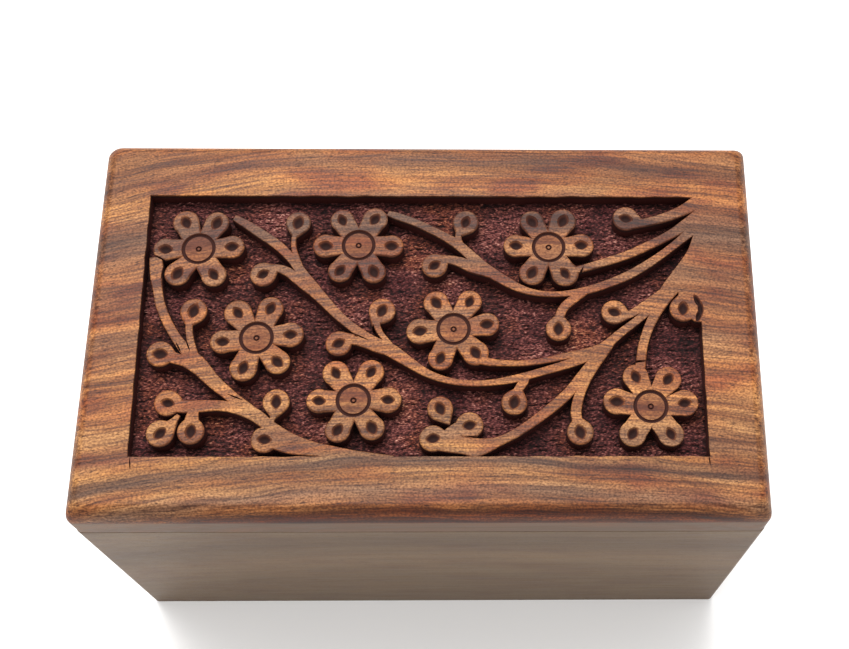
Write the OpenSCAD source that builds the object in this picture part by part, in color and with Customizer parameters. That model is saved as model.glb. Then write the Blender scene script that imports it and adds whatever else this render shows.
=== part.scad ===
// Carved rosewood jewelry box with a hinged lid, in millimetres.
// +Z is up, the front faces -Y, and the origin is on the resting surface under the middle of the box.

/* [Box] */
// Outside width of the box, along X
box_w = 127; // [124:1:150]
// Outside depth of the box, along Y
box_d = 76; // [74:1:90]
// Height of the closed box
box_h = 76; // [60:1:100]
// Thickness of the four wall boards
wall_t = 8; // [7:0.5:9]
// Thickness of the base board
base_t = 7; // [6:0.5:9]
// Radius of the upright outside corners
corner_r = 1.2; // [0.8:0.1:1.5]

/* [Lid] */
// Thickness of the lid board
lid_t = 10.5; // [9:0.5:13]
// Gap between the lid and the walls when it is shut
seam_gap = 0.2; // [0.2:0.05:0.5]
// Radius of the lid's top edges
lid_edge_r = 4; // [2:0.5:4.5]
// Depth of the carved ground below the lid's top
carve_depth = 3.2; // [2:0.2:4]
// Radius of a petal or bud
petal_r = 2.75; // [2.5:0.05:2.9]
// Distance from a flower's middle to the middle of a petal
petal_reach = 6.2; // [6:0.1:6.4]

/* [Hinges] */
// Distance from the middle of the box to the middle of each hinge
hinge_x = 38; // [30:1:45]
// Length of a hinge along its pin
hinge_len = 18; // [16:1:24]
// Thickness of a hinge leaf
leaf_t = 0.9; // [0.8:0.1:1.2]
// Outside radius of a knuckle
knuckle_r = 1.5; // [1.4:0.05:1.6]
// Radius of a hinge pin
pin_r = 0.75; // [0.6:0.05:0.8]
// Distance from the back of the box to the hinge pin
pin_inset = 2.2; // [2.1:0.05:2.4]
// Size of the bevel along the back of the seam, which stops the lid
bevel = 2.7; // [2.6:0.05:3]

/* [Lining] */
// Thickness of the velvet-covered card on the walls and lid
lining_t = 1.2; // [0.8:0.1:1.5]
// Thickness of the floor pad
pad_t = 3.5; // [2:0.5:5]
// Bare wood left between the wall lining and the rim
lining_drop = 3; // [2:0.5:5]

/* [Hidden] */
$fn = 48;
over = 1;                                   // how far a cutter runs past a face
fit = 0.1;                                  // gap round an inlaid piece
case_h = box_h - lid_t - seam_gap;          // top of the walls
lid_z = box_h - lid_t;                      // underside of the lid
rabbet = wall_t / 2;                        // depth of the corner and base rabbets
inner_w = box_w - 2 * wall_t;
inner_d = box_d - 2 * wall_t;
pin_y = box_d / 2 - pin_inset;
pin_z = case_h + seam_gap / 2;
knuckle_gap = 0.2;                          // end play between neighbouring knuckles
knuckle_room = 0.3;                         // clearance round a knuckle in the wood
middle_knuckle = hinge_len / 3;
pin_clearance = 0.05;                       // radial, in the turning knuckle
leaf_back = pin_y - knuckle_r - 0.2;        // where the flat of a leaf ends, clear of the facing knuckle
leaf_front = box_d / 2 - wall_t + 0.8;
leaf_screw_x = hinge_len * 0.29;
leaf_screw_y = leaf_front + 1.65;
leaf_screw = [1.25, 0.65, 0.65, 6.5];       // head radius, shank radius, head height, whole length
base_screw = [2.6, 1.3, 1.6, 16];
base_screw_x = 48;
base_screw_y = inner_d / 2 + 2;
bite = 0.15;                                // how much smaller a pilot hole is than its screw
screw_sink = 0.05;                          // how far a leaf screw lies under its leaf's face

// The carved field. Its right side steps in where the trunk of the vine grows out of the border.
field = [
    [-53.5, 26], [52.3, 26], [52.3, 18.5], [51.3, 16.4], [49.7, 13.9], [47.2, 10.2], [44.5, 6.5], [47, 6.2],
    [48, 5.2], [51, 5], [52.3, 3.8], [52.8, 2.4], [52.5, 1], [52, -0.4], [52.3, -26.7], [-52.7, -26.7]
];
// Each flower is its middle, then the directions of its six petals in degrees.
flowers = [
    [-43.3, 14.6, [4, 61, 117, 181, 235, 301]],
    [-12.8, 15.4, [-1, 62, 122, 181, 238, 299]],
    [23.7, 15.1, [4, 63, 120, 177, 239, 299]],
    [-31.1, -3.7, [6, 69, 127, 187, 251, 311]],
    [5.6, -1.9, [9, 62, 122, 184, 248, 311]],
    [-12.6, -16, [1, 61, 123, 181, 245, 304]],
    [42, -17.2, [6, 57, 114, 171, 236, 303]]
];
// Each bud is its middle and the direction of its stalk in degrees.
buds = [
    [38.8, 21.3, -10], [7.7, 20.4, 245], [-24.6, 20.2, 260], [1.8, 11.2, 35], [-30.7, 9.3, 30],
    [-43.2, 1.7, 255], [-7.9, 1.8, 240], [35.9, 1.6, -15], [49, 2.3, 90], [25.3, -1.8, 85],
    [-15.8, -4.8, 30], [-48.7, -6.9, -10], [16.9, -16.4, 70], [-26.7, -16.3, 265], [3.3, -17.6, -60],
    [-46.4, -16.5, -10], [8.7, -20.8, 200], [-41.8, -21.9, 90], [-47.3, -22.3, 35], [28.9, -22.1, 100],
    [2.1, -23, 0], [-28.4, -23.5, 0]
];
// Each stem is a run of [x, y, width] down its middle.
stems = [
    [[39, 19.9, 2], [43, 20.6, 1.8], [47, 21.8, 2], [50.5, 23.4, 2.4], [54, 25.5, 3.5]],
    [[29, 10.6, 1.4], [34.5, 12, 1.6], [39, 13.6, 1.7], [43.5, 15.8, 1.8], [47.5, 18, 1.9],
        [51, 20.3, 2.6], [54, 22, 4]],
    [[-7, 22.1, 0.5], [-5, 21.4, 1.2], [-2, 20.3, 1.4], [2.5, 18, 1.6], [6, 15.8, 1.9], [9, 13, 2],
        [11.5, 10.6, 2.2], [15, 8.2, 2], [18.5, 6.3, 1.5], [22, 5.4, 1.1], [26, 5.3, 1.1], [30.5, 6, 1.5],
        [35, 7.5, 1.6], [39, 9.3, 1.7], [43, 11.8, 1.6], [47, 14.8, 1.5], [50.5, 17.8, 1.8], [54, 21, 3]],
    [[3.4, 12.9, 1.6], [6.5, 11.9, 2], [9, 10.8, 2.4], [12, 9.8, 2.2], [15, 8.1, 1.5]],
    [[31.5, 6.5, 1.5], [28.5, 4.4, 1.8], [26.5, 2.4, 1.8], [25, 0, 1.8]],
    [[6.7, 18.8, 1.4], [6.2, 17, 1.2], [7.5, 14.5, 1.2]],
    [[-25.2, 18.8, 1], [-25.3, 16, 1], [-24.3, 12.5, 1.2], [-22.8, 9, 1.4]],
    [[-36.5, 20.9, 0.5], [-34.5, 19.7, 1.6], [-32, 18.1, 1.9], [-28.5, 15.6, 1.9], [-25.5, 12.6, 1.8],
        [-23.3, 9.5, 2], [-21.5, 6.8, 2.6], [-19, 4, 2.2], [-16, 0.8, 1.8], [-13, -1.8, 1.7],
        [-9.5, -4.4, 2.2], [-6, -6.2, 2.6], [-2.5, -8.6, 2], [1, -10.8, 1.5], [5, -12.2, 1.2],
        [9, -12.7, 1.1], [13, -12.5, 1.2], [17.5, -11.7, 1.5], [22, -10.4, 1.5], [26.5, -9, 1.7],
        [30.5, -7.4, 1.9], [34, -5.2, 1.8], [37, -2.6, 1.6], [40.5, 0.2, 1.5], [43.5, 3, 1.8],
        [46.5, 6, 2.4], [49, 9, 4]],
    [[-29, 10.8, 1.2], [-26.5, 10, 1.8], [-24, 8.2, 2], [-21.5, 6, 2], [-19, 4, 1.5]],
    [[-9, -0.4, 1.4], [-8, -2.8, 1], [-5.5, -5.3, 1.2]],
    [[-14.3, -4, 1.6], [-11.5, -4.6, 1.8], [-8.5, -5.6, 2], [-5, -7, 2]],
    [[12, -8.5, 1.6], [15, -8.7, 1.2], [19, -8.7, 1.1], [23, -8.1, 1.2], [27, -7.2, 1.4], [31, -6.4, 1.4],
        [34.5, -4.8, 1.2]],
    [[2, -24.3, 2], [6, -24.7, 2.2], [10, -24.2, 1.8], [13.5, -23.1, 1.7], [17, -21.5, 1.7],
        [20.5, -19.4, 1.8], [24, -16.9, 2], [27, -14.2, 2], [29.3, -11.3, 1.8], [31.5, -8.4, 1.6],
        [34.5, -5.2, 1.4]],
    [[28.5, -20.4, 1.8], [28.2, -18, 2], [28.9, -15, 1.9], [30.3, -12, 1.6], [32.2, -9, 1.4],
        [34.9, -5.4, 1.2]],
    [[40.6, -9.2, 1.9], [41, -6, 1.8], [41.8, -3, 1.8], [43, 0, 1.9], [44.8, 3, 2], [47, 6.2, 2.6],
        [49, 9, 4]],
    [[38, 0.7, 1.4], [40.5, 2.2, 1.6], [43.5, 4.2, 1.8], [46.5, 6.2, 2.2]],
    [[-51.8, 12.5, 1.4], [-51, 8, 1.6], [-50, 4.5, 1.6], [-48.3, 0.5, 1.7], [-46.3, -3.2, 1.8],
        [-44, -6.2, 2.2], [-41.5, -9, 3.2], [-38.5, -12.2, 2.6], [-35, -15.2, 2.2], [-31.5, -18, 2.4],
        [-28, -20.6, 2.2], [-24.5, -22.9, 2.2], [-20.5, -24.8, 2.4], [-16, -26, 2.6], [-11, -26.9, 2.4],
        [-5, -27.7, 2.4]],
    [[-43.8, -0.5, 1.4], [-43.6, -3, 1.3], [-42.8, -6, 1.5], [-41.5, -8.5, 1.5]],
    [[-47, -7.6, 2.2], [-44.5, -8.3, 2], [-41.5, -10, 2], [-38, -13, 1.5]],
    [[-44.5, -17.2, 2.4], [-41, -17.1, 2.3], [-37, -17, 2], [-33.5, -17.6, 2.2], [-30, -19, 2.4],
        [-27, -21, 2]],
    [[-26.5, -24.1, 2.4], [-23.5, -25, 2.2], [-19.5, -25.9, 2.2]],
    [[-26.9, -18, 1.2], [-27.3, -20, 1.4]],
    [[17.6, -14.4, 1.6], [18.8, -12.3, 1.6]]
];
steps_per_span = 3;
disc_r = 3.8;                               // the web that joins a flower's petals
button_r = 2.5;                             // the raised button inside the ring cut
ring_cut = [0.8, 0.9];                      // width and depth of that ring cut
seed_cut = [0.5, 0.6];                      // radius and depth of the cut in the button
gouge_r = 2;                                // ball radius of a petal's gouge cut
gouge_depth = 0.7;

// A point on the Catmull-Rom curve through p1 and p2, t from 0 to 1.
function spline(p0, p1, p2, p3, t) =
    p1 + (p2 - p0) * t / 2 + (2 * p0 - 5 * p1 + 4 * p2 - p3) * t * t / 2
    + (3 * (p1 - p2) + p3 - p0) * t * t * t / 2;
function clamped(list, i) = list[min(max(i, 0), len(list) - 1)];
function smooth_run(run) = [
    for (i = [0 : len(run) - 2]) for (k = [0 : steps_per_span - 1])
        spline(clamped(run, i - 1), run[i], run[i + 1], clamped(run, i + 2), k / steps_per_span),
    run[len(run) - 1]
];
// Unit vector to the left of the run at point i.
function left_of(run, i) =
    let (d = clamped(run, i + 1) - clamped(run, i - 1)) [-d[1], d[0]] / norm([d[0], d[1]]);
function side_of(run, sign) = [
    for (i = [0 : len(run) - 1]) [run[i][0], run[i][1]] + left_of(run, i) * sign * run[i][2] / 2
];
function reversed(list) = [for (i = [len(list) - 1 : -1 : 0]) list[i]];

// Children are drawn in the YZ plane and drawn out along X.
module along_x(length, from) translate([from, 0, 0]) rotate([90, 0, 90]) linear_extrude(length) children();
// A cylinder along X, centred on the given point.
module rod_x(r, length, centre)
    translate([centre[0] - length / 2, centre[1], centre[2]]) rotate([0, 90, 0]) cylinder(r = r, h = length);
module countersunk(screw, grow = 0) {
    cylinder(r1 = screw[0] + grow, r2 = screw[1] + grow, h = screw[2]);
    cylinder(r = screw[1] + grow, h = screw[3]);
}
module wood_screw(screw) difference() {
    countersunk(screw);
    translate([-screw[0] - over, -0.2, -over]) cube([2 * (screw[0] + over), 0.4, over + screw[2] / 2]);
}
module at_base_screws() for (x = [-1, 1], y = [-1, 1])
    translate([x * base_screw_x, y * base_screw_y, 0.2]) children();
module at_leaf_screws(side) for (s = [-1, 1])
    translate([side * hinge_x + s * leaf_screw_x, leaf_screw_y, 0]) children();
module at_hinges() for (side = [-1, 1]) translate([side * hinge_x, 0, 0]) children();

// What is taken off an upright corner at [x, y] to round it, towards the signs of sx and sy.
module upright_round(x, y, sx, sy, z0, z1) translate([x - sx * corner_r, y - sy * corner_r, z0 - over])
    difference() {
        translate([sx > 0 ? 0 : -corner_r - over, sy > 0 ? 0 : -corner_r - over, 0])
            cube([corner_r + over, corner_r + over, z1 - z0 + 2 * over]);
        translate([0, 0, -over]) cylinder(r = corner_r, h = z1 - z0 + 4 * over);
    }
// The bar taken off a top edge that runs along X, at distance y from the middle.
module top_edge_round(y, length) translate([-length / 2, y - lid_edge_r, box_h - lid_edge_r]) difference() {
    cube([length, lid_edge_r + over, lid_edge_r + over]);
    translate([-over, 0, 0]) rotate([0, 90, 0]) cylinder(r = lid_edge_r, h = length + 2 * over);
}

// A long wall with its outside on -Y. Both ends and the lower edge are rabbeted on the inside.
module long_wall() difference() {
    translate([-box_w / 2, -box_d / 2, 0]) cube([box_w, wall_t, case_h]);
    for (s = [-1, 1]) {
        upright_round(s * box_w / 2, -box_d / 2, s, -1, 0, case_h);
        translate([s * (box_w / 2) - (s > 0 ? wall_t : over), -box_d / 2 + rabbet, -over])
            cube([wall_t + over, rabbet + over, case_h + 2 * over]);
        translate([s * base_screw_x, -base_screw_y, base_t - over])
            cylinder(r = base_screw[1] - bite, h = base_screw[3] - base_t + over + 0.7);
    }
    translate([-box_w / 2 - over, -box_d / 2 + rabbet, -over])
        cube([box_w + 2 * over, rabbet + over, base_t + over]);
}
module front_board() color("saddlebrown") long_wall();

module back_board() color("saddlebrown") difference() {
    mirror([0, 1, 0]) long_wall();
    along_x(box_w + 2 * over, -box_w / 2 - over) polygon([
        [box_d / 2 - bevel - over, case_h + over], [box_d / 2 + over, case_h + over],
        [box_d / 2 + over, case_h - bevel - over]
    ]);
    at_hinges() {
        translate([-hinge_len / 2 - fit, leaf_front - fit, case_h - leaf_t])
            cube([hinge_len + 2 * fit, wall_t, leaf_t + over]);
        rod_x(knuckle_r + knuckle_room, hinge_len + 2 * fit, [0, pin_y, pin_z]);
    }
    for (side = [-1, 1]) at_leaf_screws(side)
        translate([0, 0, case_h - leaf_screw[3] - 0.3])
            cylinder(r = leaf_screw[1] - bite, h = leaf_screw[3] + over);
}

// An end wall with its outside on +X, standing in the rabbets of the long walls.
module end_wall() difference() {
    translate([box_w / 2 - wall_t, -box_d / 2 + rabbet, 0]) cube([wall_t, box_d - 2 * rabbet, case_h]);
    translate([box_w / 2 - wall_t - over, -box_d / 2, -over]) cube([rabbet + over, box_d, base_t + over]);
}
module right_end_board() color("sienna") end_wall();
module left_end_board() color("sienna") mirror([1, 0, 0]) end_wall();

module base_board() color("peru") difference() {
    translate([-box_w / 2 + rabbet + fit, -box_d / 2 + rabbet + fit, 0])
        cube([box_w - 2 * (rabbet + fit), box_d - 2 * (rabbet + fit), base_t]);
    at_base_screws() {
        countersunk(base_screw, fit);
        translate([0, 0, -over]) cylinder(r = base_screw[0] + fit, h = over);
    }
}
module base_screws() color("goldenrod") at_base_screws() wood_screw(base_screw);

lining_h = case_h - lining_drop - base_t;
module long_lining() translate([-inner_w / 2 + fit, -inner_d / 2, base_t])
    cube([inner_w - 2 * fit, lining_t, lining_h]);
module front_lining() color("maroon") long_lining();
module back_lining() color("maroon") mirror([0, 1, 0]) long_lining();
module end_lining() translate([inner_w / 2 - lining_t, -inner_d / 2 + lining_t + fit, base_t])
    cube([lining_t, inner_d - 2 * (lining_t + fit), lining_h]);
module right_lining() color("maroon") end_lining();
module left_lining() color("maroon") mirror([1, 0, 0]) end_lining();
pad_margin = lining_t + 2 * fit;            // how far the floor pad stays inside the walls
module floor_pad() color("firebrick")
    translate([-inner_w / 2 + pad_margin, -inner_d / 2 + pad_margin, base_t])
    cube([inner_w - 2 * pad_margin, inner_d - 2 * pad_margin, pad_t]);

// The case leaf carries the two outer knuckles. The pin is held tight in them.
module case_leaf() color("gold") difference() {
    union() {
        translate([-hinge_len / 2, leaf_front, case_h - leaf_t])
            cube([hinge_len, leaf_back - leaf_front, leaf_t]);
        for (s = [-1, 1]) {
            outer = (hinge_len - middle_knuckle) / 2 - knuckle_gap;
            centre_x = s * (hinge_len - outer) / 2;
            translate([centre_x - outer / 2, leaf_back - over, case_h - leaf_t])
                cube([outer, pin_y - leaf_back + over, leaf_t]);
            rod_x(knuckle_r, outer, [centre_x, pin_y, pin_z]);
        }
    }
    rod_x(pin_r, hinge_len + 2 * over, [0, pin_y, pin_z]);
    for (s = [-1, 1]) translate([s * leaf_screw_x, leaf_screw_y, case_h])
        mirror([0, 0, 1]) countersunk(leaf_screw, screw_sink);
}
module lid_leaf() color("gold") difference() {
    union() {
        translate([-hinge_len / 2, leaf_front, lid_z]) cube([hinge_len, leaf_back - leaf_front, leaf_t]);
        translate([-middle_knuckle / 2, leaf_back - over, lid_z])
            cube([middle_knuckle, pin_y - leaf_back + over, leaf_t]);
        rod_x(knuckle_r, middle_knuckle, [0, pin_y, pin_z]);
    }
    rod_x(pin_r + pin_clearance, hinge_len, [0, pin_y, pin_z]);
    for (s = [-1, 1]) translate([s * leaf_screw_x, leaf_screw_y, lid_z]) countersunk(leaf_screw, screw_sink);
}
module hinge_pin() color("darkgoldenrod") rod_x(pin_r, hinge_len, [0, pin_y, pin_z]);
module right_hinge_case_leaf() translate([hinge_x, 0, 0]) case_leaf();
module left_hinge_case_leaf() translate([-hinge_x, 0, 0]) case_leaf();
module right_hinge_lid_leaf() translate([hinge_x, 0, 0]) lid_leaf();
module left_hinge_lid_leaf() translate([-hinge_x, 0, 0]) lid_leaf();
module right_hinge_pin() translate([hinge_x, 0, 0]) hinge_pin();
module left_hinge_pin() translate([-hinge_x, 0, 0]) hinge_pin();
module case_leaf_screws() color("goldenrod") for (side = [-1, 1]) at_leaf_screws(side)
    translate([0, 0, case_h - screw_sink]) mirror([0, 0, 1]) wood_screw(leaf_screw);
module lid_leaf_screws() color("goldenrod") for (side = [-1, 1]) at_leaf_screws(side)
    translate([0, 0, lid_z + screw_sink]) wood_screw(leaf_screw);

// Everything that stands up from the carved ground, each piece a prism through the ground and the top.
module standing(height) {
    for (f = flowers) translate([f[0], f[1], 0]) {
        cylinder(r = disc_r, h = height);
        for (a = f[2]) rotate(a) translate([petal_reach, 0, 0]) cylinder(r = petal_r, h = height);
    }
    for (b = buds) translate([b[0], b[1], 0]) cylinder(r = petal_r - 0.2, h = height);
    for (s = stems) {
        run = smooth_run(s);
        linear_extrude(height) polygon(concat(side_of(run, 1), reversed(side_of(run, -1))));
    }
}
module gouge() translate([0, 0, gouge_r - gouge_depth]) sphere(r = gouge_r);
module cuts() translate([0, 0, box_h]) {
    for (f = flowers) translate([f[0], f[1], 0]) {
        difference() {
            translate([0, 0, -ring_cut[1]]) cylinder(r = button_r + ring_cut[0], h = ring_cut[1] + over);
            translate([0, 0, -ring_cut[1] - over]) cylinder(r = button_r, h = ring_cut[1] + 3 * over);
        }
        translate([0, 0, -seed_cut[1]]) cylinder(r = seed_cut[0], h = seed_cut[1] + over);
        for (a = f[2]) rotate(a) translate([petal_reach, 0, 0]) gouge();
    }
    for (b = buds) translate([b[0], b[1], 0]) gouge();
}
module carving() {
    difference() {
        translate([0, 0, box_h - carve_depth]) linear_extrude(carve_depth + over) polygon(field);
        translate([0, 0, box_h - carve_depth - over]) standing(carve_depth + 3 * over);
    }
    cuts();
}
module lid_board() color("chocolate") difference() {
    translate([-box_w / 2, -box_d / 2, lid_z]) cube([box_w, box_d, lid_t]);
    for (sx = [-1, 1], sy = [-1, 1]) upright_round(sx * box_w / 2, sy * box_d / 2, sx, sy, lid_z, box_h);
    top_edge_round(box_d / 2, box_w + 2 * over);
    rotate(180) top_edge_round(box_d / 2, box_w + 2 * over);
    rotate(90) top_edge_round(box_w / 2, box_d + 2 * over);
    rotate(-90) top_edge_round(box_w / 2, box_d + 2 * over);
    along_x(box_w + 2 * over, -box_w / 2 - over) polygon([
        [box_d / 2 - bevel - over, lid_z - over], [box_d / 2 + over, lid_z - over],
        [box_d / 2 + over, lid_z + bevel + over]
    ]);
    at_hinges() {
        translate([-hinge_len / 2 - fit, leaf_front - fit, lid_z - over])
            cube([hinge_len + 2 * fit, wall_t, leaf_t + over]);
        rod_x(knuckle_r + knuckle_room, hinge_len + 2 * fit, [0, pin_y, pin_z]);
    }
    for (side = [-1, 1]) at_leaf_screws(side) translate([0, 0, lid_z - over])
        cylinder(r = leaf_screw[1] - bite, h = leaf_screw[3] + over + 0.3);
    carving();
}
lid_lining_margin = 3.5;                    // how far the lid lining stays inside the walls
module lid_lining() color("maroon")
    translate([-inner_w / 2 + lid_lining_margin, -inner_d / 2 + lid_lining_margin, lid_z - lining_t])
    cube([inner_w - 2 * lid_lining_margin, inner_d - 2 * lid_lining_margin, lining_t]);

front_board();
back_board();
left_end_board();
right_end_board();
base_board();
base_screws();
front_lining();
back_lining();
left_lining();
right_lining();
floor_pad();
left_hinge_case_leaf();
right_hinge_case_leaf();
left_hinge_pin();
right_hinge_pin();
case_leaf_screws();
lid_board();
lid_lining();
left_hinge_lid_leaf();
right_hinge_lid_leaf();
lid_leaf_screws();
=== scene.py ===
import math
import random

import bmesh
import bpy
from mathutils import Matrix, Quaternion, Vector, noise


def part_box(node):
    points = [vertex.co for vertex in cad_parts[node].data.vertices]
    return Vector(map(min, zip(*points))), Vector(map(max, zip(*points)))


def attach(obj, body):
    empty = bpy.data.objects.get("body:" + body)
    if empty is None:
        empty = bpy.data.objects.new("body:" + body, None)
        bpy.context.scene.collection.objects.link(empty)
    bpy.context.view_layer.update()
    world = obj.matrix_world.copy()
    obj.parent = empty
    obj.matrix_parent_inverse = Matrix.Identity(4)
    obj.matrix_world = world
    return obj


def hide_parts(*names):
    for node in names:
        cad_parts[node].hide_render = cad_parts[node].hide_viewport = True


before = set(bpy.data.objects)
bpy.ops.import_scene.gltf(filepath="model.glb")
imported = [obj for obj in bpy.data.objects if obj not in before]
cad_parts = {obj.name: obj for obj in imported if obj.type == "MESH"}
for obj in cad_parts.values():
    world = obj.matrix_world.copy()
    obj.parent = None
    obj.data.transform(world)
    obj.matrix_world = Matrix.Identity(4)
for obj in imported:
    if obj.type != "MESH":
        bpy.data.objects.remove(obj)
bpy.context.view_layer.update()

# ---------------------------------------------------------------- Camera
# The box is held close and looked down on from in front, with the camera a little to its right and
# rolled a few degrees. The lens is a short telephoto, and the frame is cropped off its centre.
MM = 0.001
lid_low, lid_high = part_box("lid_board")
lens_tilt = math.radians(67.2)
lens_turn = math.radians(3.4)
lens_roll = math.radians(3.2)
lens_reach = 260.6 * MM
looked_at = Vector((18 * MM, 2 * MM, lid_high.z))
ahead = Vector((math.sin(lens_turn) * math.cos(lens_tilt),
                math.cos(lens_turn) * math.cos(lens_tilt), -math.sin(lens_tilt)))
bpy.ops.object.camera_add(location=looked_at - ahead * lens_reach)
camera = bpy.context.object
camera.rotation_mode = "QUATERNION"
camera.rotation_quaternion = ahead.to_track_quat("-Z", "Y") @ Quaternion((0, 0, 1), lens_roll)
camera.data.sensor_width = 36
camera.data.lens = 58.56
camera.data.shift_x = -0.112
camera.data.shift_y = -0.0175
camera.data.clip_start = 0.01
bpy.context.scene.camera = camera

# ---------------------------------------------------------------- Lid board
# One thick rosewood board, planed flat. Its top edges are run round to a bead that is deeper than it is
# wide, its corners are eased, and the back of its underside is bevelled and let in for the two hinges.
bead_width = 2.8 * MM
bead_drop = 1.55
corner_round = 1.4 * MM
rubbed_round = 2.2 * MM
arris = 0.12 * MM
back_bevel = 2.7 * MM
leaf_room = 0.1 * MM
leaf_thick = 0.9 * MM
knuckle_room = 1.8 * MM


def only(piece):
    """Selects one piece and nothing else, and works on it."""
    bpy.ops.object.select_all(action="DESELECT")
    piece.select_set(True)
    bpy.context.view_layer.objects.active = piece


def settle(piece):
    """Puts a finished piece's place, turn and size into its mesh."""
    only(piece)
    bpy.ops.object.transform_apply(location=True, rotation=True, scale=True)


def block(name, low, high):
    """A sawn block between two corners."""
    low, high = Vector(low), Vector(high)
    bpy.ops.mesh.primitive_cube_add(size=1, location=(low + high) / 2)
    piece = bpy.context.object
    piece.name = name
    piece.scale = high - low
    settle(piece)
    return piece


def pick_edges(piece, wanted):
    """In edit mode, selects the edges whose two ends pass the test."""
    bpy.ops.mesh.select_mode(type="EDGE")
    bpy.ops.mesh.select_all(action="DESELECT")
    mesh = bmesh.from_edit_mesh(piece.data)
    for edge in mesh.edges:
        edge.select_set(wanted(edge.verts[0].co, edge.verts[1].co))
    bmesh.update_edit_mesh(piece.data)


def pick_faces(piece, wanted):
    """In edit mode, selects the faces whose every corner passes the test."""
    bpy.ops.mesh.select_mode(type="FACE")
    bpy.ops.mesh.select_all(action="DESELECT")
    mesh = bmesh.from_edit_mesh(piece.data)
    for face in mesh.faces:
        face.select_set(all(wanted(corner.co) for corner in face.verts))
    bmesh.update_edit_mesh(piece.data)


def near(a, b):
    return abs(a - b) < 0.01 * MM


def work(piece, tool, operation):
    """Cuts a piece with a tool, or joins the tool to it, and throws the tool away."""
    only(piece)
    step = piece.modifiers.new(operation, "BOOLEAN")
    step.operation = operation
    step.solver = "MANIFOLD"
    step.object = tool
    bpy.ops.object.modifier_apply(modifier=step.name)
    bpy.data.objects.remove(tool)


def on_outline(point):
    """How far a point lies inside the lid's outline, across and deep."""
    return lid_high.x - abs(point.x), lid_high.y - abs(point.y)


def corner_line(a, b):
    """The upright corner edges, and the mitres where two beads meet."""
    inside_a, inside_b = on_outline(a), on_outline(b)
    return near(*inside_a) and near(*inside_b) and a.z != b.z


lid = block("carved_lid_board", lid_low, lid_high)
bpy.ops.object.mode_set(mode="EDIT")
pick_edges(lid, lambda a, b: near(a.z, lid_high.z) and near(b.z, lid_high.z))
bpy.ops.mesh.bevel(offset=bead_width, segments=10, affect="EDGES")
rounded = bmesh.from_edit_mesh(lid.data)
for point in rounded.verts:
    if point.co.z > lid_low.z + MM:
        point.co.z = lid_high.z - (lid_high.z - point.co.z) * bead_drop
bmesh.update_edit_mesh(lid.data)
pick_edges(lid, lambda a, b: corner_line(a, b) and a.x < 0 < a.y)
bpy.ops.mesh.bevel(offset=rubbed_round, segments=6, affect="EDGES")
pick_edges(lid, lambda a, b: corner_line(a, b) and not a.x < 0 < a.y)
bpy.ops.mesh.bevel(offset=corner_round, segments=5, affect="EDGES")
pick_edges(lid, lambda a, b: near(a.z, lid_low.z) and near(b.z, lid_low.z))
bpy.ops.mesh.bevel(offset=arris, segments=3, affect="EDGES")
bpy.ops.object.mode_set(mode="OBJECT")

# The bevel along the back takes off a corner with two legs of its own size.
bevel_tool = block("bevel_tool", (-0.1, -back_bevel, -back_bevel), (0.1, back_bevel, back_bevel))
bevel_tool.rotation_euler.x = math.radians(45)
tool_shift = back_bevel * (math.sqrt(2) - 1) / 2
bevel_tool.location = (0, lid_high.y + tool_shift, lid_low.z - tool_shift)
settle(bevel_tool)
work(lid, bevel_tool, "DIFFERENCE")

for side in ("left", "right"):
    leaf_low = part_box(f"{side}_hinge_lid_leaf")[0]
    pin_low, pin_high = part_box(f"{side}_hinge_pin")
    mortise = block("mortise", (pin_low.x - leaf_room, leaf_low.y - leaf_room, lid_low.z - MM),
                    (pin_high.x + leaf_room, lid_high.y + MM, lid_low.z + leaf_thick))
    work(lid, mortise, "DIFFERENCE")
    bpy.ops.mesh.primitive_cylinder_add(
        vertices=32, radius=knuckle_room, depth=pin_high.x - pin_low.x + 2 * leaf_room,
        location=(pin_low + pin_high) / 2, rotation=(0, math.radians(90), 0))
    settle(bpy.context.object)
    work(lid, bpy.context.object, "DIFFERENCE")

# ---------------------------------------------------------------- Sunken ground of the lid
# The field round the flowers is cut down by about 3 mm with straight walls, a little uneven as a hand
# cuts them, and its floor is matted all over with a small punch, in rough rows along the grain.
ground_depth = 3.2
ground_z = lid_high.z - ground_depth * MM
field_left = (-53.5, -52.7)
field_right = 52.3
field_back = 26
field_front = -26.7
mat_step = 0.25


def punched(x, y):
    """Height of the matted floor in millimetres at a place in millimetres."""
    place = Vector((x, y, 0))
    sway = noise.noise(place * 0.3) * 1.2
    marks = noise.voronoi(Vector((x / 1.05, (y + sway) / 0.5, 3.1)))[0]
    dome = min(marks[1] - marks[0], 0.5) / 0.5
    row = abs(math.sin(math.pi * (y + sway) / 1.2 + noise.noise(place * 0.7) * 1.5))
    valley = (1 - row) ** 3
    rough = noise.noise(place * 3.1) * 0.14
    roll = noise.noise(place * 0.12) * 0.2
    return roll + rough - 0.3 * valley + 0.24 * dome - 0.08


across = round((field_right - field_left[0]) / mat_step)
deep = round((field_back - field_front) / mat_step)
bpy.ops.mesh.primitive_grid_add(x_subdivisions=across, y_subdivisions=deep, size=1)
field = bpy.context.object
field.name = "field_tool"
for point in field.data.vertices:
    v = point.co.y + 0.5
    left = field_left[1] + (field_left[0] - field_left[1]) * v
    x = left + (field_right - left) * (point.co.x + 0.5)
    y = field_front + (field_back - field_front) * v
    x += 0.16 * noise.noise(Vector((3, y * 0.35, 0)))
    y += 0.16 * noise.noise(Vector((x * 0.3, 7, 0)))
    point.co = Vector((x * MM, y * MM, ground_z + punched(x, y) * MM))
bpy.ops.object.mode_set(mode="EDIT")
bpy.ops.mesh.select_all(action="SELECT")
bpy.ops.mesh.region_to_loop()
bpy.ops.mesh.extrude_edges_move()
rim = bmesh.from_edit_mesh(field.data)
for point in rim.verts:
    if point.select:
        point.co.z = lid_high.z - 0.2 * MM
bmesh.update_edit_mesh(field.data)
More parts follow.
